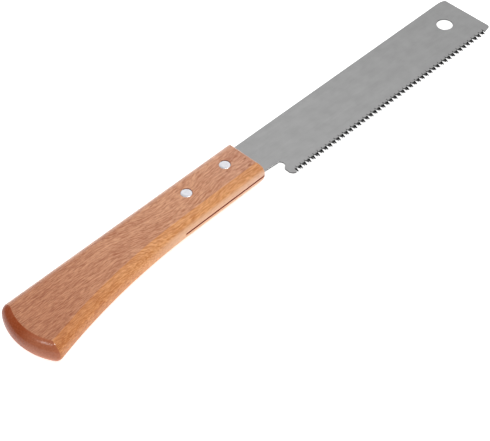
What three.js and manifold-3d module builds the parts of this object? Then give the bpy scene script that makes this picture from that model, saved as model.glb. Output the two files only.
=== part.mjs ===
// A small Japanese pull saw: a toothed steel blade whose tang fills a saw kerf in a one-piece beech
// handle, held there by two aluminium rivets that pass right through.
//
// Millimetres. The pieces are drawn with X = 0 at the first tooth, Y = 0 on the line of the tooth
// points and Z = 0 in the middle of the blade's thickness; +X runs to the tip, +Y to the spine. The
// finished saw is moved so that it lies on Z = 0 with its origin under the middle of its box.
import * as THREE from 'three';
import { mergeVertices } from 'three/addons/utils/BufferGeometryUtils.js';
import Module from 'manifold-3d';

// Blade
const BLADE_REACH = 139.0; // first tooth to the end edge
const BLADE_WIDTH = 31.2; // tooth points to spine
const BLADE_THICKNESS = 0.6;
const TIP_CORNER_LENGTH = 5.0; // long, low rounding where the spine meets the end edge
const TIP_CORNER_DROP = 1.7;
const TOE_CORNER_RADIUS = 1.2;
const TOE_RISE = 1.7; // how far the plain toe has risen from the tooth line at the end edge
const TOE_START_RISE = 0.85;
const HANG_HOLE_DIAMETER = 8.0;
const HANG_HOLE_FROM_END = 14.4;
const HANG_HOLE_FROM_SPINE = 12.85;

// Teeth: a front face square to the tooth line, a raked back and a small tip facet
const TEETH_PER_INCH = 18;
const TOOTH_DEPTH = 2.35;
const TIP_FACET_LENGTH = 0.5;
const TIP_FACET_RISE = 0.18;
const GULLET_FLAT = 0.08;
const TOOTH_SET = 0.1; // sideways lean of each tooth point, alternately down and up
const TOE_LENGTH = 4.9; // plain edge left after the last tooth

// Heel and tang
const HEEL_OVERHANG = 3.1; // heel's back edge behind the first tooth
const HEEL_RADIUS = 2.8;
const HEEL_ARC_END = THREE.MathUtils.degToRad(255);
const RELIEF_RADIUS = 2.15; // round notch between heel and tang
const RELIEF_SPREAD = THREE.MathUtils.degToRad(60); // half of the notch's arc
const RELIEF_BEHIND_TOOTH = 2.8;
const SHOULDER_DROP = 1.05; // end of the soft corner between notch and back edge
const TANG_WIDTH = 21.2; // at the notch
const TANG_SLOPE = 0.055; // its lower edge closes on the spine towards the rear
const TANG_CORNER = 2.5;
const EXPOSED_TANG = 11.2; // first tooth to the handle's front face

// Handle
const HANDLE_LENGTH = 140.6;
const HANDLE_THICKNESS = 11.2;
const SPINE_SIDE_MARGIN = 1.55; // wood beyond the blade's spine at the front face
const SPINE_SIDE_SLOPE = 0.0073;
const TOOTH_SIDE_MARGIN = 1.8; // wood beyond the tang's lower edge at the front face
const TOOTH_SIDE_SLOPE = 0.0155;
const STRAIGHT_LENGTH = 46.8; // front face to where the tooth side starts to flare
const FLARE_RADIUS = 345;
const BUTT_RADIUS = 31;
const BUTT_CROWN_OFFSET = 19.05; // spine side at the front face down to the butt's crown
const BUTT_UPPER_CORNER = 5.5;
const BUTT_LOWER_CORNER = 3.5;
const CORNER_LEAST = 0.3; // what stays of a corner's radius however far its edge is inset
const FRONT_UPPER_CORNER = 1.2;
const FRONT_LOWER_CORNER = 1.9;
const EDGE_LAND = 1.6; // upright strip in the middle of the rounded edges
const EDGE_THROUGH = 5.05; // rounding's half axis through the thickness; the flat face cuts it short
const SIDE_EDGE_ACROSS = 6.8; // and its half axis across the face, along both sides
const BUTT_EDGE_ACROSS = 5.8;
const FRONT_EDGE_ACROSS = 2.9;
const KERF_DEPTH = 50.8; // front face to the end of the saw kerf
const TANG_END_GAP = 2.5;

// Rivets
const RIVET_DIAMETER = 5.4;
const RIVET_CROWN = 0.2;
const RIVETS = [
  { name: 'front_rivet', fromFront: 12.6, fromSpine: 8.75 },
  { name: 'rear_rivet', fromFront: 36.85, fromSpine: 9.2 },
];

const CLEARANCE = 0.3; // between pieces that touch in the real saw
const EDGE_SEGMENTS = 7;
const ROUND_SEGMENTS = 48;
const CORNER_SEGMENTS = 5;
const BUTT_SEGMENTS = 14;
const FLARE_SEGMENTS = 16;
const BEYOND = 5; // how far a cutting solid runs past what it cuts

// Places worked out from the sizes above
const TOOTH_PITCH = 25.4 / TEETH_PER_INCH;
const TOOTH_COUNT = Math.floor((BLADE_REACH - TOE_LENGTH) / TOOTH_PITCH);
const RELIEF_X = -RELIEF_BEHIND_TOOTH + RELIEF_RADIUS * Math.cos(RELIEF_SPREAD);
const TANG_LOWER_Y = BLADE_WIDTH - TANG_WIDTH;
const FRONT_X = -EXPOSED_TANG;
const BUTT_X = FRONT_X - HANDLE_LENGTH;
const KERF_END_X = FRONT_X - KERF_DEPTH;
const SPINE_SIDE_Y = BLADE_WIDTH + SPINE_SIDE_MARGIN;
const TOOTH_SIDE_Y = tangLowerY(FRONT_X) - TOOTH_SIDE_MARGIN;
const FACE_Z = HANDLE_THICKNESS / 2;
const SPINE_SIDE_ANGLE = Math.atan(SPINE_SIDE_SLOPE);
const TOOTH_SIDE_ANGLE = Math.atan(TOOTH_SIDE_SLOPE);
const BUTT_CENTRE = new THREE.Vector2(BUTT_X + BUTT_RADIUS, SPINE_SIDE_Y - BUTT_CROWN_OFFSET);
const FLARE_CENTRE = new THREE.Vector2(FRONT_X, TOOTH_SIDE_Y)
  .addScaledVector(direction(TOOTH_SIDE_ANGLE), -STRAIGHT_LENGTH)
  .addScaledVector(direction(TOOTH_SIDE_ANGLE + Math.PI / 2), -FLARE_RADIUS);

const steel = new THREE.MeshStandardMaterial({ color: 0xa2a3a5, roughness: 0.42, metalness: 0.9 });
const beech = new THREE.MeshStandardMaterial({ color: 0xc38e6f, roughness: 0.45, metalness: 0 });
const aluminium = new THREE.MeshStandardMaterial({ color: 0xdcdce2, roughness: 0.35, metalness: 0.8 });

const wasm = await Module();
wasm.setup();

/** Closed three.js geometry as a manifold-3d solid. */
function solid(geometry) {
  const bare = geometry.index ? geometry.toNonIndexed() : geometry.clone();
  bare.deleteAttribute('normal');
  bare.deleteAttribute('uv');
  const merged = mergeVertices(bare, 1e-4);
  return new wasm.Manifold(new wasm.Mesh({
    numProp: 3,
    vertProperties: Float32Array.from(merged.attributes.position.array),
    triVerts: Uint32Array.from(merged.index.array),
  }));
}

/** A manifold-3d solid as a named mesh. */
function piece(name, body, material) {
  const { vertProperties, triVerts } = body.getMesh();
  const geometry = new THREE.BufferGeometry();
  geometry.setAttribute('position', new THREE.BufferAttribute(vertProperties, 3));
  geometry.setIndex(new THREE.BufferAttribute(triVerts, 1));
  geometry.computeVertexNormals();
  const mesh = new THREE.Mesh(geometry, material);
  mesh.name = name;
  return mesh;
}

/** Lower edge of the tang, which closes on the spine as it runs back from the notch. */
function tangLowerY(x) {
  return TANG_LOWER_Y + (RELIEF_X - x) * TANG_SLOPE;
}

/** Upright pin through the saw's whole thickness, as a cutting tool. */
function bore(x, y, diameter) {
  const height = HANDLE_THICKNESS + 2 * BEYOND;
  const pin = new THREE.CylinderGeometry(diameter / 2, diameter / 2, height, ROUND_SEGMENTS);
  pin.rotateX(Math.PI / 2);
  pin.translate(x, y, 0);
  return solid(pin);
}

/** Where a rivet's axis stands. */
function rivetPlace(rivet) {
  return new THREE.Vector2(FRONT_X - rivet.fromFront, BLADE_WIDTH - rivet.fromSpine);
}

/** One tooth's point, tip facet and the gullet behind it, drawn onto the blade's outline. */
function drawTooth(outline, index) {
  const x = index * TOOTH_PITCH;
  outline.lineTo(x, TOOTH_DEPTH - GULLET_FLAT);
  outline.lineTo(x, 0);
  outline.lineTo(x + TIP_FACET_LENGTH, TIP_FACET_RISE);
  if (index < TOOTH_COUNT - 1) {
    outline.lineTo(x + TOOTH_PITCH - GULLET_FLAT, TOOTH_DEPTH);
  }
}

/** Rear end of the tang, its lower edge, the round notch and the heel up to the first gullet. */
function drawHeel(outline) {
  const rear = KERF_END_X + TANG_END_GAP;
  const reliefY = tangLowerY(RELIEF_X) - RELIEF_RADIUS * Math.sin(RELIEF_SPREAD);
  const notchEnd = reliefY - RELIEF_RADIUS * Math.sin(RELIEF_SPREAD);
  const shoulderRun = RELIEF_X + HEEL_OVERHANG;
  const shoulderY = notchEnd - shoulderRun / Math.tan(RELIEF_SPREAD);
  const shoulderDrop = Math.min(SHOULDER_DROP, shoulderY / 3); // soft corners share the back edge
  const heelRadius = Math.min(HEEL_RADIUS, shoulderY - shoulderDrop);
  outline.moveTo(rear, BLADE_WIDTH - TANG_CORNER);
  outline.lineTo(rear, tangLowerY(rear) + TANG_CORNER);
  outline.lineTo(rear + TANG_CORNER, tangLowerY(rear + TANG_CORNER));
  outline.lineTo(RELIEF_X, tangLowerY(RELIEF_X));
  outline.absarc(-RELIEF_BEHIND_TOOTH, reliefY, RELIEF_RADIUS, RELIEF_SPREAD, -RELIEF_SPREAD, true);
  outline.quadraticCurveTo(-HEEL_OVERHANG, shoulderY, -HEEL_OVERHANG, shoulderY - shoulderDrop);
  outline.absarc(heelRadius - HEEL_OVERHANG, heelRadius, heelRadius, Math.PI, HEEL_ARC_END, false);
  outline.lineTo(-TOOTH_PITCH + TIP_FACET_LENGTH, TIP_FACET_RISE);
  outline.lineTo(-GULLET_FLAT, TOOTH_DEPTH);
}

/** Plain toe behind the last tooth, the end edge and the rounded corner up to the spine. */
function drawToe(outline) {
  const toeX = TOOTH_COUNT * TOOTH_PITCH;
  const cornerY = TOE_RISE + TOE_CORNER_RADIUS;
  const tipX = BLADE_REACH - TIP_CORNER_LENGTH;
  const tipY = BLADE_WIDTH - TIP_CORNER_DROP;
  outline.lineTo(toeX, TOE_START_RISE);
  outline.lineTo(BLADE_REACH - TOE_CORNER_RADIUS, TOE_RISE);
  outline.absarc(BLADE_REACH - TOE_CORNER_RADIUS, cornerY, TOE_CORNER_RADIUS, -Math.PI / 2, 0, false);
  outline.absellipse(tipX, tipY, TIP_CORNER_LENGTH, TIP_CORNER_DROP, 0, Math.PI / 2, false, 0);
  outline.lineTo(KERF_END_X + TANG_END_GAP + TANG_CORNER, BLADE_WIDTH);
}

/** Leans every tooth below its root sideways, the first one down and the next one up. */
function setTeeth(geometry) {
  const position = geometry.attributes.position;
  for (let i = 0; i < position.count; i += 1) {
    const rootY = TOOTH_DEPTH - GULLET_FLAT;
    const tooth = Math.floor(position.getX(i) / TOOTH_PITCH + 0.01);
    const inTeeth = tooth >= 0 && tooth < TOOTH_COUNT && position.getY(i) < rootY;
    if (inTeeth) {
      const side = tooth % 2 === 0 ? -1 : 1;
      const lean = TOOTH_SET * (1 - position.getY(i) / rootY);
      position.setZ(i, position.getZ(i) + side * lean);
    }
  }
}

/** Toothed blade with its tang, cut from one sheet. */
function makeBlade() {
  const outline = new THREE.Shape();
  drawHeel(outline);
  for (let index = 0; index < TOOTH_COUNT; index += 1) {
    drawTooth(outline, index);
  }
  drawToe(outline);
  const sheet = new THREE.ExtrudeGeometry(outline, {
    depth: BLADE_THICKNESS, bevelEnabled: false, curveSegments: CORNER_SEGMENTS,
  });
  sheet.translate(0, 0, -BLADE_THICKNESS / 2);
  setTeeth(sheet);
  const holeX = BLADE_REACH - HANG_HOLE_FROM_END;
  const holeY = BLADE_WIDTH - HANG_HOLE_FROM_SPINE;
  let blade = solid(sheet).subtract(bore(holeX, holeY, HANG_HOLE_DIAMETER));
  for (const rivet of RIVETS) {
    const place = rivetPlace(rivet);
    blade = blade.subtract(bore(place.x, place.y, RIVET_DIAMETER + 2 * CLEARANCE));
  }
  return piece('blade', blade, steel);
}

/**
 * Rounded edge of the handle: half of an upright land, then an elliptical quarter that the flat face
 * cuts off, which leaves a faint shoulder. Each level has a height and how far it stands in from the
 * edge, as a share of the rounding's half axis across the face.
 */
function edgeLevels() {
  const landZ = EDGE_LAND / 2;
  const shoulder = Math.asin((FACE_Z - landZ) / EDGE_THROUGH);
  const upper = [];
  for (let i = 0; i <= EDGE_SEGMENTS; i += 1) {
    const angle = (shoulder * i) / EDGE_SEGMENTS;
    upper.push({ share: 1 - Math.cos(angle), z: landZ + EDGE_THROUGH * Math.sin(angle) });
  }
  const lower = upper.map(({ share, z }) => ({ share, z: -z })).reverse();
  return [...lower, ...upper];
}

/** Unit vector at an angle. */
function direction(angle) {
  return new THREE.Vector2(Math.cos(angle), Math.sin(angle));
}

/** Points along an arc, both ends included. */
function arcPoints(centre, radius, from, to, segments) {
  const points = [];
  for (let i = 0; i <= segments; i += 1) {
    const angle = from + ((to - from) * i) / segments;
    points.push(centre.clone().addScaledVector(direction(angle), radius));
  }
  return points;
}

/** Centre of the corner between the spine side and the butt, given its distance inside each. */
function upperCornerCentre(insideSide, insideButt) {
  const back = direction(SPINE_SIDE_ANGLE + Math.PI);
  const inward = direction(SPINE_SIDE_ANGLE - Math.PI / 2);
  const start = new THREE.Vector2(FRONT_X, SPINE_SIDE_Y).addScaledVector(inward, insideSide);
  const gap = start.clone().sub(BUTT_CENTRE);
  const along = gap.dot(back);
  const reach = Math.sqrt(along ** 2 - gap.lengthSq() + (BUTT_RADIUS - insideButt) ** 2);
  return start.addScaledVector(back, reach - along);
}

/** Centre of the corner between the butt and the flare, given its distance inside each. */
function lowerCornerCentre(insideSide, insideButt) {
  const axis = FLARE_CENTRE.clone().sub(BUTT_CENTRE);
  const near = BUTT_RADIUS - insideButt;
  const far = FLARE_RADIUS + insideSide;
  const gap = axis.length();
  const turn = Math.acos((near ** 2 + gap ** 2 - far ** 2) / (2 * near * gap));
  return BUTT_CENTRE.clone().addScaledVector(direction(axis.angle() - turn), near);
}

/** What a corner keeps of its radius once its edges have moved inwards. */
function cornerLeft(radius, inset) {
  return Math.max(radius - inset, CORNER_LEAST);
}

/**
 * The handle's outline at a level of its rounded edge, from the front face round the spine side, the
 * butt, the flare and the straight tooth side. The sides lean so little that the front corners are
 * drawn square.
 */
function handleOutline(share) {
  const side = share * SIDE_EDGE_ACROSS;
  const butt = share * BUTT_EDGE_ACROSS;
  const front = share * FRONT_EDGE_ACROSS;
  const upperRadius = cornerLeft(BUTT_UPPER_CORNER, side);
  const lowerRadius = cornerLeft(BUTT_LOWER_CORNER, side);
  const upper = upperCornerCentre(side + upperRadius, butt + upperRadius);
  const lower = lowerCornerCentre(side + lowerRadius, butt + lowerRadius);
  const upperTurn = upper.clone().sub(BUTT_CENTRE).angle();
  const lowerTurn = lower.clone().sub(BUTT_CENTRE).angle();
  const flareTurn = lower.clone().sub(FLARE_CENTRE).angle();
  const spineTurn = SPINE_SIDE_ANGLE + Math.PI / 2;
  const toothTurn = TOOTH_SIDE_ANGLE + Math.PI / 2;

  const frontUpper = cornerLeft(FRONT_UPPER_CORNER, front);
  const frontLower = cornerLeft(FRONT_LOWER_CORNER, front);
  const frontX = FRONT_X - front;
  const spineCorner = new THREE.Vector2(frontX - frontUpper, SPINE_SIDE_Y - side - frontUpper);
  const toothCorner = new THREE.Vector2(frontX - frontLower, TOOTH_SIDE_Y + side + frontLower);
  return [
    ...arcPoints(spineCorner, frontUpper, 0, Math.PI / 2, CORNER_SEGMENTS),
    ...arcPoints(upper, upperRadius, spineTurn, upperTurn, CORNER_SEGMENTS),
    ...arcPoints(BUTT_CENTRE, BUTT_RADIUS - butt, upperTurn, lowerTurn, BUTT_SEGMENTS).slice(1, -1),
    ...arcPoints(lower, lowerRadius, lowerTurn, flareTurn + Math.PI, CORNER_SEGMENTS),
    ...arcPoints(FLARE_CENTRE, FLARE_RADIUS + side, flareTurn, toothTurn, FLARE_SEGMENTS).slice(1),
    ...arcPoints(toothCorner, frontLower, -Math.PI / 2, 0, CORNER_SEGMENTS),
  ];
}

/** Handle's body before it is cut: outlines stacked through the thickness and closed by flat faces. */
function handleBlank() {
  const levels = edgeLevels();
  const rings = levels.map(({ share }) => handleOutline(share));
  const count = rings[0].length;
  const positions = rings.flatMap((ring, level) => (
    ring.flatMap((point) => [point.x, point.y, levels[level].z])
  ));
  const index = [];
  for (let level = 0; level < rings.length - 1; level += 1) {
    for (let i = 0; i < count; i += 1) {
      const here = level * count + i;
      const next = level * count + ((i + 1) % count);
      index.push(here, next, next + count, here, next + count, here + count);
    }
  }
  const top = (rings.length - 1) * count;
  for (const [a, b, c] of THREE.ShapeUtils.triangulateShape(rings[0], [])) {
    index.push(c, b, a, top + a, top + b, top + c);
  }
  const blank = new THREE.BufferGeometry();
  blank.setAttribute('position', new THREE.Float32BufferAttribute(positions, 3));
  blank.setIndex(index);
  return solid(blank);
}

/** Saw kerf that takes the tang: open at the front face and along both sides. */
function kerfCutter() {
  const width = SPINE_SIDE_Y - TOOTH_SIDE_Y + 4 * BEYOND;
  const height = BLADE_THICKNESS + 2 * CLEARANCE;
  const kerf = new THREE.BoxGeometry(KERF_DEPTH + BEYOND, width, height);
  kerf.translate(KERF_END_X + (KERF_DEPTH + BEYOND) / 2, (SPINE_SIDE_Y + TOOTH_SIDE_Y) / 2, 0);
  return solid(kerf);
}

/** One-piece beech handle with its kerf and its rivet holes. */
function makeHandle() {
  let handle = handleBlank().subtract(kerfCutter());
  for (const rivet of RIVETS) {
    const place = rivetPlace(rivet);
    handle = handle.subtract(bore(place.x, place.y, RIVET_DIAMETER + 2 * CLEARANCE));
  }
  return piece('handle', handle, beech);
}

/** Solid rivet through handle and tang, flush with both faces, its ends faintly crowned. */
function makeRivet(rivet) {
  const radius = RIVET_DIAMETER / 2;
  const crown = [[0, FACE_Z], [radius / 2, FACE_Z - RIVET_CROWN / 4], [radius, FACE_Z - RIVET_CROWN]];
  const upper = crown.map(([r, z]) => new THREE.Vector2(r, z)).reverse();
  const lower = crown.map(([r, z]) => new THREE.Vector2(r, -z));
  const pin = new THREE.LatheGeometry([...lower, ...upper], ROUND_SEGMENTS);
  const place = rivetPlace(rivet);
  pin.rotateX(Math.PI / 2);
  pin.translate(place.x, place.y, 0);
  return piece(rivet.name, solid(pin), aluminium);
}

const pieces = new THREE.Group();
pieces.add(makeHandle(), makeBlade(), ...RIVETS.map(makeRivet));

const box = new THREE.Box3().setFromObject(pieces);
const middle = box.getCenter(new THREE.Vector3());
pieces.position.set(-middle.x, -middle.y, -box.min.z);

const saw = new THREE.Group();
saw.add(pieces);
export default saw;
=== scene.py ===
"""A small Japanese pull saw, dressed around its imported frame.

The saw is a toothed blade of thin spring steel whose tang fills a kerf in a one-piece beech handle,
held by two aluminium rivets. Sizes are millimetres, in saw space: X runs from the first tooth to the
tip, Y from the tooth points to the spine, Z up from the middle of the blade. Each finished mesh is
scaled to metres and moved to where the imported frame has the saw.
"""

import logging
import math
from dataclasses import dataclass, field
from enum import Enum
from typing import Any, Iterable, Union

import bmesh
import bpy
from mathutils import Matrix, Vector


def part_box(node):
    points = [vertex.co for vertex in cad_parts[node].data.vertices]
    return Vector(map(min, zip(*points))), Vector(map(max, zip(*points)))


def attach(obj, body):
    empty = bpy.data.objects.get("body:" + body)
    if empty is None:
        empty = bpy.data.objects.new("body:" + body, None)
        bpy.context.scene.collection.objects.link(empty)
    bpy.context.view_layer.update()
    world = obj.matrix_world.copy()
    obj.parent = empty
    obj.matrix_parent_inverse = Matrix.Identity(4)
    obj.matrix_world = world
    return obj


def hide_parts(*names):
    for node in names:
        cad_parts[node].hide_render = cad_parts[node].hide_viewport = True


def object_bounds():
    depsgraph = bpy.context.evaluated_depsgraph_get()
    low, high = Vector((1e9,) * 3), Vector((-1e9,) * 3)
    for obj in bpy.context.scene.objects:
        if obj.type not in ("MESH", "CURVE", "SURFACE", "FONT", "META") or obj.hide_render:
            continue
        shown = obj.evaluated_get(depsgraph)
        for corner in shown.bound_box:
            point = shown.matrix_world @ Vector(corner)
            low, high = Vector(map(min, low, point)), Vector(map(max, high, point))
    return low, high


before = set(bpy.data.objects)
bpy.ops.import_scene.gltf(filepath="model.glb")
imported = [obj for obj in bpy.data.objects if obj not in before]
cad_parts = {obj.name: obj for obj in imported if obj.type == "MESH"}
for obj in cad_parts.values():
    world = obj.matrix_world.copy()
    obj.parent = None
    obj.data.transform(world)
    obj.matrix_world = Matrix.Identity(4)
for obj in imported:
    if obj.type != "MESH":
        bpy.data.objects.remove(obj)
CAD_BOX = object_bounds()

LOG = logging.getLogger("pull_saw")
MILLIMETRE = 0.001
INCH = 25.4
BLADE_REACH = 139.0
MERGE_DISTANCE = 1e-5
NOISE_ROUGHNESS = 0.55
Z_AXIS = Vector((0.0, 0.0, 1.0))
Range = tuple[float, float]
Triple = tuple[float, float, float]
Colour = Triple
WHITE: Colour = (1.0, 1.0, 1.0)


# ---- Shader maths ----


class Wire:
    """An output socket that adds Math nodes when it is reckoned with."""

    def __init__(self, shader: "Shader", socket: bpy.types.NodeSocket) -> None:
        """Keeps the tree the socket is in, and the socket."""
        self.shader = shader
        self.socket = socket

    def _math(self, operation: str, first: "Operand", second: "Operand" = 0.0) -> "Wire":
        """One Math node's result."""
        made = self.shader.node("ShaderNodeMath", {"operation": operation}, {0: first, 1: second})
        return made["Value"]

    def __add__(self, other: "Operand") -> "Wire":
        """Sum."""
        return self._math("ADD", self, other)

    def __radd__(self, other: float) -> "Wire":
        """Sum."""
        return self._math("ADD", other, self)

    def __sub__(self, other: "Operand") -> "Wire":
        """Difference."""
        return self._math("SUBTRACT", self, other)

    def __rsub__(self, other: float) -> "Wire":
        """Difference, with the number first."""
        return self._math("SUBTRACT", other, self)

    def __mul__(self, other: "Operand") -> "Wire":
        """Product."""
        return self._math("MULTIPLY", self, other)

    def __rmul__(self, other: float) -> "Wire":
        """Product."""
        return self._math("MULTIPLY", other, self)

    def __neg__(self) -> "Wire":
        """The value with its sign turned."""
        return self._math("MULTIPLY", self, -1.0)

    def __abs__(self) -> "Wire":
        """The value without its sign."""
        return self._math("ABSOLUTE", self)

    def root(self) -> "Wire":
        """Square root."""
        return self._math("SQRT", self)

    def at_most(self, other: "Operand") -> "Wire":
        """The smaller of two values."""
        return self._math("MINIMUM", self, other)

    def step(self, low: float, high: float) -> "Wire":
        """A smooth step from 0 at low to 1 at high, or the other way round where low is the larger.

        Args:
            low: value that gives 0.
            high: value that gives 1.

        Returns:
            The step, from 0 to 1.
        """
        turned = low > high
        ends = (high, low) if turned else (low, high)
        made = self.shader.node(
            "ShaderNodeMapRange",
            {"interpolation_type": "SMOOTHSTEP"},
            {"Value": self, "From Min": ends[0], "From Max": ends[1]},
        )["Result"]
        return 1.0 - made if turned else made


Operand = Union[Wire, float]
Input = Union[Wire, float, tuple, Vector]


class Made:
    """A node whose outputs are read by name."""

    def __init__(self, shader: "Shader", node: bpy.types.Node) -> None:
        """Keeps the tree and the node."""
        self.shader = shader
        self.node = node

    def __getitem__(self, key: str) -> Wire:
        """The output that has this name or identifier."""
        found = [s for s in self.node.outputs if key in (s.identifier, s.name)]
        return Wire(self.shader, found[0])


class Shader:
    """One material's node tree, built from expressions."""

    def __init__(self, name: str) -> None:
        """Starts an empty material of that name.

        Args:
            name: the material's name.
        """
        self.material = bpy.data.materials.new(name)
        self.material.use_nodes = True
        self.tree = self.material.node_tree
        self.tree.nodes.clear()

    def node(self, kind: str, settings: dict[str, Any], sockets: dict[Union[int, str], Input]) -> Made:
        """Adds a node.

        Args:
            kind: the node's type.
            settings: its properties, which are set first.
            sockets: values or wires of its inputs, by name, identifier or number.

        Returns:
            The node.
        """
        made = self.tree.nodes.new(kind)
        for key, value in settings.items():
            setattr(made, key, value)
        for key, value in sockets.items():
            socket = made.inputs[key] if isinstance(key, int) else self._input(made, key)
            if isinstance(value, Wire):
                self.tree.links.new(value.socket, socket)
            elif isinstance(value, (tuple, Vector)) and socket.type == "RGBA":
                socket.default_value = (*value[:3], 1.0)
            else:
                socket.default_value = value
        return Made(self, made)

    @staticmethod
    def _input(node: bpy.types.Node, key: str) -> bpy.types.NodeSocket:
        """The input that has this identifier, or else this name."""
        same = [s for s in node.inputs if s.identifier == key]
        return (same or [s for s in node.inputs if s.name == key])[0]

    def mix(self, factor: Operand, first: Input, second: Input, blend: str = "MIX") -> Wire:
        """A colour between two.

        Args:
            factor: share of the second colour.
            first: colour at 0.
            second: colour at 1.
            blend: how the two are laid together.

        Returns:
            The mixed colour.
        """
        settings = {"data_type": "RGBA", "blend_type": blend}
        sockets = {"Factor_Float": factor, "A_Color": first, "B_Color": second}
        return self.node("ShaderNodeMix", settings, sockets)["Result_Color"]

    def vector(self, operation: str, first: Input, second: Input) -> Wire:
        """A Vector Math node's vector."""
        return self.node("ShaderNodeVectorMath", {"operation": operation}, {0: first, 1: second})["Vector"]

    def split(self, vector: Wire) -> tuple[Wire, Wire, Wire]:
        """A vector's three parts."""
        parts = self.node("ShaderNodeSeparateXYZ", {}, {"Vector": vector})
        return parts["X"], parts["Y"], parts["Z"]

    def join(self, x: Operand, y: Operand, z: Operand) -> Wire:
        """A vector of three parts."""
        return self.node("ShaderNodeCombineXYZ", {}, {"X": x, "Y": y, "Z": z})["Vector"]

    def place(self) -> Wire:
        """Where a surface point is in saw space, in millimetres.

        Returns:
            The place.
        """
        here = self.node("ShaderNodeTexCoord", {}, {})["Object"]
        from_heel = self.vector("SUBTRACT", here, SAW.heel)
        return self.vector("MULTIPLY", from_heel, Vector((1, 1, 1)) / MILLIMETRE)

    def normal(self) -> Wire:
        """The surface's own direction."""
        return self.node("ShaderNodeTexCoord", {}, {})["Normal"]

    def noise(self, place: Wire, size: Triple, octaves: float) -> Wire:
        """Smooth noise whose grains have a size.

        Args:
            place: where, in millimetres.
            size: how long a grain is along each axis.
            octaves: how many finer noises are laid over it.

        Returns:
            Noise about 0.5.
        """
        scaled = self.vector("DIVIDE", place, Vector(size))
        sockets = {"Vector": scaled, "Scale": 1.0, "Detail": octaves, "Roughness": NOISE_ROUGHNESS}
        return self.node("ShaderNodeTexNoise", {}, sockets)["Fac"]

    def bump(self, height: Wire, depth: float) -> Wire:
        """The normal of a surface raised by height times depth, in millimetres."""
        sockets = {"Strength": 1.0, "Distance": depth * MILLIMETRE, "Height": height}
        return self.node("ShaderNodeBump", {}, sockets)["Normal"]

    def surface(self, **sockets: Input) -> bpy.types.Material:
        """Ends the tree in a Principled surface.

        Args:
            sockets: its inputs, by name with _ for a space.

        Returns:
            The finished material.
        """
        named = {key.replace("_", " "): value for key, value in sockets.items()}
        shader = self.node("ShaderNodeBsdfPrincipled", {}, named)
        self.node("ShaderNodeOutputMaterial", {}, {"Surface": shader["BSDF"]})
        return self.material


# ---- Finishes ----


@dataclass(frozen=True)
class Grain:
    """One scale of a pattern: noise made into patches."""

    size: Triple
    octaves: float
    band: Range

    def patches(self, shader: Shader, place: Wire) -> Wire:
        """The patches, from 0 between them to 1 in them."""
        return shader.noise(place, self.size, self.octaves).step(*self.band)


def shades(colour: Colour, shares: Range) -> tuple[Colour, Colour]:
    """A darker and a lighter form of a colour, as shares of it."""
    dark, light = (tuple(share * part for part in colour) for share in shares)
    return dark, light


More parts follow.
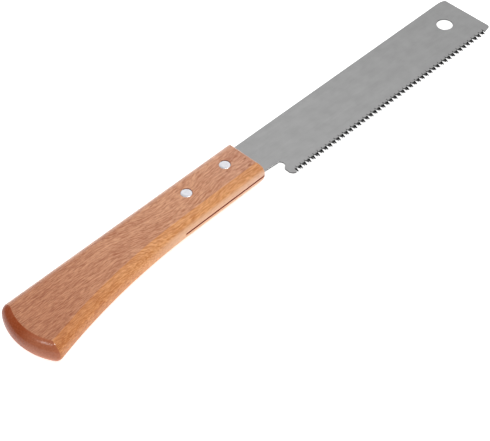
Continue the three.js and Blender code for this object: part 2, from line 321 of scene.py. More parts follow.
@dataclass(frozen=True)
class Beech:
    """Clear-lacquered beech: pinkish tan with fine dark flecks, with painted light making its rounded side
    warmer and brighter.

    A run is where along the saw something comes in, and a lean how far a surface turns meanwhile.
    """

    # Colours of the broad faces and flecks, then painted light on the rounded side, painted floor reflection
    # on its steep part and painted reflection on the eased edges.
    pale: Colour = (0.76, 0.40, 0.228)
    deep: Colour = (0.385, 0.125, 0.053)
    fleck: Colour = (0.29, 0.092, 0.032)
    lit_amber: Colour = (0.87, 0.440, 0.190)
    lit_amber_deep: Colour = (0.50, 0.168, 0.045)
    floor_reflection: Colour = (0.76, 0.440, 0.265)
    rim: Colour = (0.76, 0.560, 0.480)
    # Colour of the butt's end grain, painted floor reflection on its lower part, and painted shade inside
    # the kerf.
    end_grain: Colour = (0.30, 0.050, 0.006)
    end_reflection: Colour = (0.62, 0.245, 0.135)
    kerf_shade: Colour = (0.34, 0.036, 0.008)
    # Tints over everything but the end grain.
    front_tint: Colour = (0.97, 1.00, 1.10)
    front_run: Range = (-45.0, -15.0)
    butt_tint: Colour = (0.82, 0.70, 0.62)
    butt_run: Range = (-60.0, -145.0)
    # The figure, from the broadest to the finest, and each one's share of the tone.
    clouds: Grain = Grain((34.0, 5.0, 5.0), 2.0, (0.34, 0.66))
    fibres: Grain = Grain((4.4, 0.50, 0.50), 3.0, (0.40, 0.60))
    threads: Grain = Grain((2.8, 0.34, 0.34), 2.0, (0.36, 0.64))
    flecks: Grain = Grain((2.4, 0.40, 0.40), 1.0, (0.54, 0.68))
    pores: Grain = Grain((1.2, 0.7, 0.7), 3.0, (0.35, 0.7))
    cloud_share: float = 0.18
    fibre_share: float = 0.42
    thread_share: float = 0.40
    # How the grain strays across the handle.
    wander: float = 2.4
    wander_size: Triple = (38.0, 9.0, 9.0)
    wander_through: float = 0.6
    flare_drift: float = 7.4
    flare_run: Range = (-100.0, -65.0)
    straight_drift: float = 3.6
    straight_run: Range = (-52.0, -28.0)
    # The leans that make a surface rounding, steep side, eased edge or end, and how they are blended.
    rounding_lean: Range = (0.06, 0.20)
    steep_lean: Range = (0.70, 0.97)
    spine_lean: Range = (0.35, 0.8)
    nose_lean: Range = (0.45, 0.9)
    end_lean: Range = (0.12, 0.20)
    ragged: float = 0.3
    ragged_size: Triple = (16.0, 3.0, 3.0)
    floor_reflection_run: Range = (-90.0, -60.0)
    edge_reflection_share: float = 0.6
    # How dark flecks and knots get; a knot is its place along and across, and its size.
    fleck_share: float = 0.52
    fleck_loss: float = 0.32
    darkest: float = 0.8
    knots: tuple[Triple, ...] = ((-14.9, 18.6, 1.0), (-16.3, 14.2, 1.15), (-26.0, 18.7, 0.7))
    knot_core: float = 0.2
    knot_squeeze: Range = (0.6, 1.4)
    # Where painted floor reflection pales the end grain, and by how much; pores pale it too.
    toothward: Range = (17.0, 4.0)
    toothward_share: float = 0.35
    downward: Range = (1.0, -3.5)
    downward_share: float = 0.45
    pore_share: float = 0.15
    # The kerf: how far its painted shade and bare, unlacquered wood reach from the mid-plane, and where they
    # stop.
    kerf_wall: Range = (0.55, 0.38)
    kerf_run: Range = (-62.02, -61.98)
    # Surface.
    fibre_relief: float = 0.5
    thread_relief: float = 0.3
    fleck_relief: float = 0.6
    relief_depth: float = 0.03
    roughness: float = 0.44
    fibre_roughness: float = 0.12
    lacquer: float = 0.7
    lacquer_roughness: float = 0.16
    lacquer_index: float = 1.5
    end_soak: float = 0.35
    steep_soak: float = 0.6
    specular: float = 0.12

    def _knots(self, x: Wire, y: Wire) -> Wire:
        """Small dark pin knots in the upper face.

        Args:
            x: place along the saw.
            y: place across it.

        Returns:
            How dark they make the wood.
        """
        along, across = self.knot_squeeze
        dark: Operand = 0.0
        for knot_x, knot_y, size in self.knots:
            away = ((x - knot_x) * (x - knot_x) * along + (y - knot_y) * (y - knot_y) * across).root()
            dark = away.step(size, size * self.knot_core) + dark
        return dark

    def _grain(self, shader: Shader, place: Wire) -> Wire:
        """Place as the grain sees it, straying with the wander and the handle's flare.

        Args:
            shader: the wood's tree.
            place: the true place.

        Returns:
            The strayed place.
        """
        x, y, z = shader.split(place)
        bend = (shader.noise(place, self.wander_size, 1.0) - 0.5) * self.wander
        sweep = x.step(*self.flare_run) * self.flare_drift - x.step(*self.straight_run) * self.straight_drift
        return shader.join(x, y + bend + sweep, z + bend * self.wander_through)

    def _tint(self, shader: Shader, x: Wire) -> Wire:
        """What the wood's colour is multiplied by along the handle."""
        rear = shader.mix(x.step(*self.butt_run), WHITE, self.butt_tint)
        return shader.mix(x.step(*self.front_run), rear, self.front_tint)

    def _end_colour(self, shader: Shader, place: Wire, grain: Wire) -> Wire:
        """Colour of the butt's end grain, with painted floor reflection making it paler towards the teeth
        and below.

        Args:
            shader: the wood's tree.
            place: the true place.
            grain: the place as the grain sees it.

        Returns:
            The colour.
        """
        _, y, z = shader.split(place)
        # Painted floor reflection: the end grain is paled towards the teeth and below; pores pale it too.
        low = y.step(*self.toothward) * self.toothward_share + z.step(*self.downward) * self.downward_share
        pale = low + self.pores.patches(shader, grain) * self.pore_share
        return shader.mix(pale, self.end_grain, self.end_reflection)

    def material(self) -> bpy.types.Material:
        """Builds the wood.

        Returns:
            The material.
        """
        shader = Shader("lacquered_beech")
        place = shader.place()
        x, y, z = shader.split(place)
        grain = self._grain(shader, place)
        cloud = self.clouds.patches(shader, grain)
        fibre = self.fibres.patches(shader, grain)
        fleck = self.flecks.patches(shader, grain)
        thread = self.threads.patches(shader, grain)
        tone = cloud * self.cloud_share + fibre * self.fibre_share + thread * self.thread_share

        nx, ny, _ = shader.split(shader.normal())
        ragged = (shader.noise(grain, self.ragged_size, 3.0) - 0.5) * self.ragged
        # Painted light: the rounded tooth side, picked by its surface direction, gets a brighter amber.
        rounding = (ragged - ny).step(*self.rounding_lean)
        steep = (-ny).step(*self.steep_lean)
        face = shader.mix(tone, self.deep, self.pale)
        lit_rounding = shader.mix(tone, self.lit_amber_deep, self.lit_amber)
        # Painted floor reflection: the steep part of the tooth side, towards the front, is paled.
        side = shader.mix(steep * x.step(*self.floor_reflection_run), lit_rounding, self.floor_reflection)
        along = shader.mix(1.0, shader.mix(rounding, face, side), self._tint(shader, x), "MULTIPLY")
        # Painted reflection: the eased spine-side and front edges are paled by their surface direction.
        rim = ny.step(*self.spine_lean) + nx.step(*self.nose_lean)
        edge_reflected = shader.mix(rim * self.edge_reflection_share, along, self.rim)
        flecked = fleck * (self.fleck_share - self.fleck_loss * rounding)
        dark = (flecked + self._knots(x, y)).at_most(self.darkest)
        long_grain = shader.mix(dark, edge_reflected, self.fleck)

        end = (-nx).step(*self.end_lean)
        outside = shader.mix(end, long_grain, self._end_colour(shader, place, grain))
        # Painted shade: inside the kerf the wood is coloured dark; it also goes without lacquer there.
        inside = abs(z).step(*self.kerf_wall) * x.step(*self.kerf_run)
        relief = fibre * self.fibre_relief + thread * self.thread_relief - fleck * self.fleck_relief
        soaked = (1.0 - self.end_soak * end) * (1.0 - self.steep_soak * steep)
        return shader.surface(
            Base_Color=shader.mix(inside, outside, self.kerf_shade),
            Roughness=self.roughness + self.fibre_roughness * fibre,
            Coat_Weight=self.lacquer * ((1.0 - inside) * soaked),
            Coat_Roughness=self.lacquer_roughness,
            Coat_IOR=self.lacquer_index,
            Specular_IOR_Level=self.specular,
            Normal=shader.bump(relief, self.relief_depth),
        )


class Ground(Enum):
    """How a tooth's surface was left."""

    HARDENED = "hardened"
    FRONT = "front"
    BACK = "back"


@dataclass(frozen=True)
class SawSteel:
    """Satin rolled spring steel with darker hardened and ground surfaces on the teeth; painted shade darkens
    its edge walls, the flats of even teeth and the teeth's walls, and the back bevels are a touch lighter
    than the fronts as painted light.
    """

    plate: Colour = (0.382, 0.382, 0.382)
    plate_shades: Range = (0.90, 1.10)
    # Painted shade: the near-black given to the plate's edge walls, round the holes, the notch and the
    # outline.
    edge: Colour = (0.05, 0.05, 0.05)
    # Hardened and ground tooth colours; the fronts' near-black is also painted shade on even teeth's flats
    # and tooth walls, and the backs are a touch lighter as painted light.
    hardened: Colour = (0.048, 0.048, 0.049)
    front: Colour = (0.004, 0.004, 0.004)
    back: Colour = (0.007, 0.007, 0.007)
    tooth_shades: Range = (0.8, 1.2)
    root: Colour = (0.12, 0.12, 0.12)
    root_rise: Range = (2.25, 2.7)
    # Rolling lines along the plate, faint clouds, and its fall in brightness towards the tip.
    line_size: Triple = (14.0, 0.12, 0.12)
    cloud_size: Triple = (7.0, 5.0, 5.0)
    cloud_band: Range = (0.25, 0.75)
    heel_tint: Colour = (1.07, 1.07, 1.07)
    tip_tint: Colour = (0.92, 0.92, 0.92)
    tint_run: Range = (-10.0, 140.0)
    flat_lean: Range = (0.3, 0.75)
    metal: float = 0.92
    plate_specular: float = 0.2
    plate_roughness: float = 0.40
    line_roughness: float = 0.10
    line_depth: float = 0.004
    # Grinding marks across the teeth.
    mark_size: Triple = (0.5, 0.05, 0.5)
    mark_band: Range = (0.3, 0.7)
    tooth_specular: float = 0.06
    tooth_roughness: float = 0.42
    mark_roughness: float = 0.16
    mark_depth: float = 0.003

    def plate_material(self) -> bpy.types.Material:
        """Builds the plate's finish, with painted shade darkening its edge walls.

        Returns:
            The material.
        """
        shader = Shader("satin_steel")
        place = shader.place()
        lines = shader.noise(place, self.line_size, 3.0)
        cloud = shader.noise(place, self.cloud_size, 3.0)
        tone = (lines * 0.5 + cloud * 0.5).step(*self.cloud_band)
        sheet = shader.mix(tone, *shades(self.plate, self.plate_shades))
        x, _, _ = shader.split(place)
        along = shader.mix(x.step(*self.tint_run), self.heel_tint, self.tip_tint)
        _, _, nz = shader.split(shader.normal())
        # Faces that are not flat get the painted shade colour and lose their metal.
        flat = abs(nz).step(*self.flat_lean)
        return shader.surface(
            Base_Color=shader.mix(flat, self.edge, shader.mix(1.0, sheet, along, "MULTIPLY")),
            Metallic=self.metal * flat,
            Specular_IOR_Level=self.plate_specular,
            Roughness=self.plate_roughness + self.line_roughness * lines,
            Normal=shader.bump(lines, self.line_depth),
        )

    def tooth_material(self, ground: Ground) -> bpy.types.Material:
        """Builds the finish of one kind of tooth surface.

        Args:
            ground: which kind.

        Returns:
            The material.
        """
        base = {Ground.HARDENED: self.hardened, Ground.FRONT: self.front, Ground.BACK: self.back}[ground]
        shader = Shader(f"tooth_{ground.value}")
        place = shader.place()
        marks = shader.noise(place, self.mark_size, 2.0)
        tone = shader.mix(marks.step(*self.mark_band), *shades(base, self.tooth_shades))
        _, y, _ = shader.split(place)
        return shader.surface(
            Base_Color=shader.mix(y.step(*self.root_rise), tone, self.root),
            Metallic=0.0,
            Specular_IOR_Level=self.tooth_specular,
            Roughness=self.tooth_roughness + self.mark_roughness * marks,
            Normal=shader.bump(marks, self.mark_depth),
        )


@dataclass(frozen=True)
class RivetMetal:
    """Sanded aluminium."""

    bright: Colour = (0.90, 0.90, 0.94)
    dull: Colour = (0.78, 0.78, 0.84)
    mark_size: Triple = (3.0, 0.10, 0.10)
    cloud_size: Triple = (1.6, 1.6, 1.6)
    cloud_band: Range = (0.3, 0.7)
    roughness: float = 0.30
    mark_roughness: float = 0.14
    mark_depth: float = 0.006

    def material(self) -> bpy.types.Material:
        """Builds the rivets' finish, with fine sanding marks along the handle.

        Returns:
            The material.
        """
        shader = Shader("sanded_aluminium")
        place = shader.place()
        marks = shader.noise(place, self.mark_size, 2.0)
        cloud = shader.noise(place, self.cloud_size, 2.0)
        tone = (marks * 0.5 + cloud * 0.5).step(*self.cloud_band)
        return shader.surface(
            Base_Color=shader.mix(tone, self.dull, self.bright),
            Metallic=1.0,
            Roughness=self.roughness + self.mark_roughness * marks,
            Normal=shader.bump(marks, self.mark_depth),
        )


# ---- Modelling helpers ----


@dataclass(frozen=True)
class SawPlace:
    """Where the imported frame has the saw."""

    heel: Vector
    face: float
    reach: float

    @staticmethod
    def read(reach: float) -> "SawPlace":
        """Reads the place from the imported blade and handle.

        Args:
            reach: first tooth to the blade's end, in millimetres.

        Returns:
            The first tooth's point at the blade's mid-plane, half the handle's thickness, and the reach.
        """
        blade_low, blade_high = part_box("blade")
        handle_low, handle_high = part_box("handle")
        middle = (handle_low.z + handle_high.z) / 2
        heel = Vector((blade_high.x - reach * MILLIMETRE, blade_low.y, middle))
        return SawPlace(heel, (handle_high.z - middle) / MILLIMETRE, reach)

    def matrix(self) -> Matrix:
        """From saw space, in millimetres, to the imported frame, in metres."""
        return Matrix.Translation(self.heel) @ Matrix.Scale(MILLIMETRE, 4)


SAW = SawPlace.read(BLADE_REACH)


def heading(angle: float) -> Vector:
    """Flat unit vector at an angle."""
    return Vector((math.cos(angle), math.sin(angle)))


def angle_of(vector: Vector) -> float:
    """Angle of a flat vector, from 0 to a full turn."""
    return math.atan2(vector.y, vector.x) % math.tau


class Outline:
    """A closed outline drawn corner by corner in a bmesh."""

    def __init__(self, bm: bmesh.types.BMesh, z: float) -> None:
        """Starts an empty outline at a height.

        Args:
            bm: the mesh drawn in.
            z: the height.
        """
        self.bm = bm
        self.z = z
        self.first: bmesh.types.BMVert | None = None
        self.last: bmesh.types.BMVert | None = None
        self.start_count = len(bm.edges)

    def to(self, x: float, y: float) -> None:
        """Draws a straight line to a point.

        Args:
            x: the point's place along.
            y: its place across.
        """
        point = self.bm.verts.new((x, y, self.z))
        if self.last is None:
            self.first = point
        else:
            self.bm.edges.new((self.last, point))
        self.last = point

    def arc(self, centre: Vector, radius: float, start: float, end: float, steps: int) -> None:
        """Draws a line to where an arc starts, and the arc.

        Args:
            centre: the arc's centre.
            radius: its radius.
            start: angle of its first point.
            end: angle of its last point; a smaller angle turns clockwise.
            steps: straight pieces it is made of.
        """
        begin = centre + heading(start) * radius
        self.to(begin.x, begin.y)
        spun = bmesh.ops.spin(
            self.bm, geom=[self.last], cent=(centre.x, centre.y, self.z), axis=Z_AXIS,
            angle=end - start, steps=steps, use_duplicate=False, use_merge=False,
        )
        self.last = next(g for g in spun["geom_last"] if isinstance(g, bmesh.types.BMVert))

    def close(self) -> list[bmesh.types.BMEdge]:
        """Joins the ends and gives the outline's edges.

        Returns:
            The edges.
        """
        self.bm.edges.new((self.last, self.first))
        self.bm.edges.ensure_lookup_table()
        return list(self.bm.edges)[self.start_count:]


def block(bm: bmesh.types.BMesh, low: Vector, high: Vector) -> None:
    """Adds a block between two corners."""
    place = Matrix.Translation((low + high) / 2) @ Matrix.Diagonal((*(high - low), 1))
    bmesh.ops.create_cube(bm, size=1, matrix=place)


def lathe(bm: bmesh.types.BMesh, profile: list[Range], place: Vector, steps: int) -> None:
    """Adds a solid turned about an upright axis.

    Args:
        bm: the mesh it is added to, which is empty.
        profile: its outline as (distance from the axis, height), from axis to axis.
        place: where the axis stands.
        steps: sides of the turned solid.
    """
    points = [bm.verts.new((radius, 0.0, z)) for radius, z in profile]
    lines = [bm.edges.new(pair) for pair in zip(points, points[1:])]
    bmesh.ops.spin(bm, geom=points + lines, cent=(0, 0, 0), axis=Z_AXIS, angle=math.tau,
                   steps=steps, use_merge=True, use_duplicate=False)
    bmesh.ops.remove_doubles(bm, verts=bm.verts, dist=MERGE_DISTANCE)
    bmesh.ops.recalc_face_normals(bm, faces=bm.faces)
    bmesh.ops.translate(bm, vec=(place.x, place.y, 0), verts=bm.verts)


def put(name: str, data: Union[bpy.types.Mesh, bpy.types.Camera, bpy.types.Light]) -> bpy.types.Object:
    """Makes an object and links it to the scene.

    Args:
        name: its name.
        data: its mesh, camera or light.

    Returns:
        The object.
    """
    made = bpy.data.objects.new(name, data)
    bpy.context.scene.collection.objects.link(made)
    return made


def put_mesh(bm: bmesh.types.BMesh, name: str) -> bpy.types.Object:
    """Makes an object of a mesh and links it to the scene.

    Args:
        bm: the mesh, which is used up.
        name: the object's name.

    Returns:
        The object.
    """
    mesh = bpy.data.meshes.new(name)
    bm.to_mesh(mesh)
    bm.free()
    return put(name, mesh)


def finish_mesh(bm: bmesh.types.BMesh, name: str) -> bpy.types.Object:
    """Scales a mesh in saw space to metres, moves it to the saw's place and makes it a piece.

    Args:
        bm: the mesh, which is used up.
        name: the piece's name.

    Returns:
        The piece, with its object at the origin.
    """
    bmesh.ops.transform(bm, matrix=SAW.matrix(), verts=bm.verts)
    return put_mesh(bm, name)


def cut(piece: bpy.types.Object, cutter: bpy.types.Object) -> None:
    """Takes a cutter's solid out of a piece and removes the cutter.

    Args:
        piece: the piece.
        cutter: the solid.
    """
    modifier = piece.modifiers.new("cut", "BOOLEAN")
    modifier.operation = "DIFFERENCE"
    modifier.solver = "EXACT"
    modifier.object = cutter
    graph = bpy.context.evaluated_depsgraph_get()
    mesh = bpy.data.meshes.new_from_object(piece.evaluated_get(graph))
    piece.modifiers.clear()
    old, piece.data = piece.data, mesh
    name = old.name
    bpy.data.meshes.remove(old)
    mesh.name = name
    bpy.data.objects.remove(cutter)


def shade(piece: bpy.types.Object, crease: float) -> None:
    """Shades a piece smoothly, with creases where faces turn by more than an angle in degrees."""
    piece.data.shade_smooth()
    piece.data.set_sharp_from_angle(angle=math.radians(crease))


def level_edges(edges: Iterable[bmesh.types.BMEdge], z: float) -> list[bmesh.types.BMEdge]:
    """The edges that lie flat at a height."""
    return [e for e in edges if all(abs(v.co.z - z) < MERGE_DISTANCE for v in e.verts)]


def fitted(piece: bpy.types.Object, slot: str, *nodes: str) -> bpy.types.Object:
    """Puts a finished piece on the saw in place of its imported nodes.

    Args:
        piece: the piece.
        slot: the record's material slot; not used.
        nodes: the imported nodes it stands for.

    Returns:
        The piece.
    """
    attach(piece, "root")
    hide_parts(*nodes)
    return piece


# ---- Handle ----


@dataclass
class Handle:
    """One-piece beech handle: straight beside the tang, then flared to a rounded butt."""

    front: float = -11.2
    length: float = 140.6
    spine_side: float = 32.75
    spine_slope: float = 0.0073
    tooth_side: float = 8.722
    tooth_slope: float = 0.0155
    straight: float = 46.8
    flare_radius: float = 345.0
    butt_radius: float = 31.0
    butt_crown: float = 19.05
    upper_corner: float = 5.5
    lower_corner: float = 3.5
    front_upper_corner: float = 1.2
    front_lower_corner: float = 1.9
    least_corner: float = 0.3
    land: float = 1.6
    edge_through: float = 5.05
    side_across: float = 6.8
    butt_across: float = 5.8
    front_across: float = 2.9
    edge_steps: int = 14
    corner_steps: int = 8
    butt_steps: int = 36
    flare_steps: int = 36
    ridge: float = 0.22
    arc_trim: float = 0.01
    flare_trim: float = 0.0005
    kerf_depth: float = 50.8
    kerf_width: float = 0.74
    kerf_beyond: float = 12.0
    bore: float = 5.54
    bore_steps: int = 64
    crease: float = 24.0
    finish: Beech = field(default_factory=Beech)

    def __post_init__(self) -> None:
        """Works out the arcs' centres."""
        self.spine_angle = math.atan(self.spine_slope)
        self.tooth_angle = math.atan(self.tooth_slope)
        crown_x = self.front - self.length
        self.butt_centre = Vector((crown_x + self.butt_radius, self.spine_side - self.butt_crown))
        flare_start = Vector((self.front, self.tooth_side)) - heading(self.tooth_angle) * self.straight
        self.flare_centre = flare_start - heading(self.tooth_angle + math.pi / 2) * self.flare_radius

    def _upper_centre(self, inside_side: float, inside_butt: float) -> Vector:
        """Centre of the corner between spine side and butt, given its distance inside each.

        Args:
            inside_side: its distance inside the long side.
            inside_butt: its distance inside the butt.

        Returns:
            The centre.
        """
        back = heading(self.spine_angle + math.pi)
        inward = heading(self.spine_angle - math.pi / 2)
        start = Vector((self.front, self.spine_side)) + inward * inside_side
        gap = start - self.butt_centre
        along = gap.dot(back)
        reach = math.sqrt(along**2 - gap.length_squared + (self.butt_radius - inside_butt) ** 2)
        return start + back * (reach - along)

    def _lower_centre(self, inside_side: float, inside_butt: float) -> Vector:
        """Centre of the corner between butt and flare, given its distance inside each.

        Args:
            inside_side: its distance inside the long side.
            inside_butt: its distance inside the butt.

        Returns:
            The centre.
        """
        axis = self.flare_centre - self.butt_centre
        near = self.butt_radius - inside_butt
        far = self.flare_radius + inside_side
        turn = math.acos((near**2 + axis.length_squared - far**2) / (2 * near * axis.length))
        return self.butt_centre + heading(angle_of(axis) - turn) * near

    def _ring(self, bm: bmesh.types.BMesh, share: float, z: float) -> list[bmesh.types.BMEdge]:
        """Draws the handle's outline at one level of its rounded edge.

        Args:
            bm: the mesh drawn in.
            share: how far in the level stands, as a share of the rounding's half axis.
            z: the level's height.

        Returns:
            The outline's edges.
        """
        side, butt = share * self.side_across, share * self.butt_across
        front = share * self.front_across
        upper_radius = max(self.upper_corner - side, self.least_corner)
        lower_radius = max(self.lower_corner - side, self.least_corner)
        upper = self._upper_centre(side + upper_radius, butt + upper_radius)
        lower = self._lower_centre(side + lower_radius, butt + lower_radius)
        upper_turn = angle_of(upper - self.butt_centre)
        lower_turn = angle_of(lower - self.butt_centre)
        flare_turn = angle_of(lower - self.flare_centre)
        spine_turn = self.spine_angle + math.pi / 2
        tooth_turn = self.tooth_angle + math.pi / 2
        front_upper = max(self.front_upper_corner - front, self.least_corner)
        front_lower = max(self.front_lower_corner - front, self.least_corner)
        front_x = self.front - front
        spine_corner = Vector((front_x - front_upper, self.spine_side - side - front_upper))
        tooth_corner = Vector((front_x - front_lower, self.tooth_side + side + front_lower))

        outline = Outline(bm, z)
        outline.arc(spine_corner, front_upper, 0, math.pi / 2, self.corner_steps)
        outline.arc(upper, upper_radius, spine_turn, upper_turn, self.corner_steps)
        outline.arc(self.butt_centre, self.butt_radius - butt, upper_turn + self.arc_trim,
                    lower_turn - self.arc_trim, self.butt_steps)
        outline.arc(lower, lower_radius, lower_turn, flare_turn + math.pi, self.corner_steps)
        outline.arc(self.flare_centre, self.flare_radius + side, flare_turn - self.flare_trim, tooth_turn,
                    self.flare_steps)
        outline.arc(tooth_corner, front_lower, -math.pi / 2, 0, self.corner_steps)
        return outline.close()

    def _levels(self) -> list[Range]:
        """Steps of the rounded edge, from the lower flat to the upper one.

        Returns:
            The levels: how far in each stands, as a share of the rounding's half axis, and its height.
        """
        land = self.land / 2
        shoulder = math.asin((SAW.face - land) / self.edge_through)
        upper = []
        for index in range(self.edge_steps + 1):
            angle = shoulder * index / self.edge_steps
            upper.append((1 - math.cos(angle), land + self.edge_through * math.sin(angle)))
        return [(share, -z) for share, z in reversed(upper)] + upper

    def _blank(self) -> bpy.types.Object:
        """The handle before it is cut: outlines bridged level by level, closed by flat faces.

        Returns:
            The blank.
        """
        bm = bmesh.new()
        rings = [self._ring(bm, share, z) for share, z in self._levels()]
        for below, above in zip(rings, rings[1:]):
            bmesh.ops.bridge_loops(bm, edges=below + above)
        for ring in (rings[0], rings[-1]):
            flat = bmesh.ops.contextual_create(bm, geom=ring)["faces"]
            bmesh.ops.inset_region(bm, faces=flat, thickness=self.ridge, use_even_offset=True)
        bmesh.ops.recalc_face_normals(bm, faces=bm.faces)
        return finish_mesh(bm, "beech_handle")

    def _kerf(self) -> bpy.types.Object:
        """Solid of the saw kerf that takes the tang, open to the front and both sides.

        Returns:
            The cutter.
        """
        bm = bmesh.new()
        half, beyond = self.kerf_width / 2, self.kerf_beyond
        low = Vector((self.front - self.kerf_depth, -beyond, -half))
        high = Vector((self.front + beyond, self.spine_side + beyond, half))
        block(bm, low, high)
        return finish_mesh(bm, "kerf_cutter")

    def _bore(self, place: Vector) -> bpy.types.Object:
        """Solid of a rivet's hole.

        Args:
            place: where the rivet stands.

        Returns:
            The cutter.
        """
        bm = bmesh.new()
        radius = self.bore / 2
        bmesh.ops.create_cone(
            bm, cap_ends=True, segments=self.bore_steps, radius1=radius, radius2=radius,
            depth=4 * SAW.face, matrix=Matrix.Translation((place.x, place.y, 0)),
        )
        return finish_mesh(bm, "bore_cutter")

    def build(self, rivets: list["Rivet"]) -> bpy.types.Object:
        """Makes the handle.

        Args:
            rivets: the rivets it is bored for.

        Returns:
            The finished piece.
        """
        piece = self._blank()
        cut(piece, self._kerf())
        for rivet in rivets:
            cut(piece, self._bore(rivet.place))
        shade(piece, self.crease)
        piece.data.materials.append(self.finish.material())
        return fitted(piece, "beech", "handle")


# ---- Rivets ----


@dataclass
class Rivet:
    """Solid aluminium rivet, sanded nearly flush with both faces of the handle."""

    name: str
    place: Vector
    diameter: float = 5.4
    crown: float = 0.16
    edge: float = 0.22
    # Share of the edge's width and height where its rounding turns.
    edge_turn: Range = (0.3, 0.25)
    # Share of the radius where the crown has fallen by a share of its height.
    crown_turn: Range = (0.75, 0.45)
    dimple: float = 0.05
    dimple_radius: float = 1.15
    # The dimple's flat middle and outer lip as shares of its radius, and how low the lip lies.
    dimple_flat: float = 0.7
    dimple_lip: float = 1.3
    lip_drop: Range = (0.01, 0.02)
    steps: int = 64
    crease: float = 50.0

    def build(self, metal: bpy.types.Material) -> bpy.types.Object:
        """Makes the rivet by turning its profile.

        Args:
            metal: its finish.

        Returns:
            The finished piece.
        """
        radius = self.diameter / 2
        top = SAW.face
        inner_drop, outer_drop = self.lip_drop
        profile = [
            (0.0, top - self.dimple),
            (self.dimple_radius * self.dimple_flat, top - self.dimple),
            (self.dimple_radius, top - inner_drop),
            (self.dimple_radius * self.dimple_lip, top - outer_drop),
            (radius * self.crown_turn[0], top - self.crown * self.crown_turn[1]),
            (radius - self.edge, top - self.crown),
            (radius - self.edge * self.edge_turn[0], top - self.crown - self.edge * self.edge_turn[1]),
            (radius, top - self.crown - self.edge),
        ]
        bm = bmesh.new()
        lathe(bm, profile + [(r, -z) for r, z in reversed(profile)], self.place, self.steps)
        piece = finish_mesh(bm, f"aluminium_{self.name}")
        shade(piece, self.crease)
        piece.data.materials.append(metal)
        return fitted(piece, "rivet_aluminium", self.name)


# ---- Blade ----

# Allowances around the row of teeth, in millimetres.
SLIVER = 0.01
FACE_MARGIN = 0.05
ROW_START_MARGIN = 0.02
ROW_END_MARGIN = 0.3
EASE_CLEARANCE = 0.3
# The least upright part of a flat face's normal, and the greatest of a wall's.
FLAT_LEAN = 0.97
WALL_LEAN = 0.02


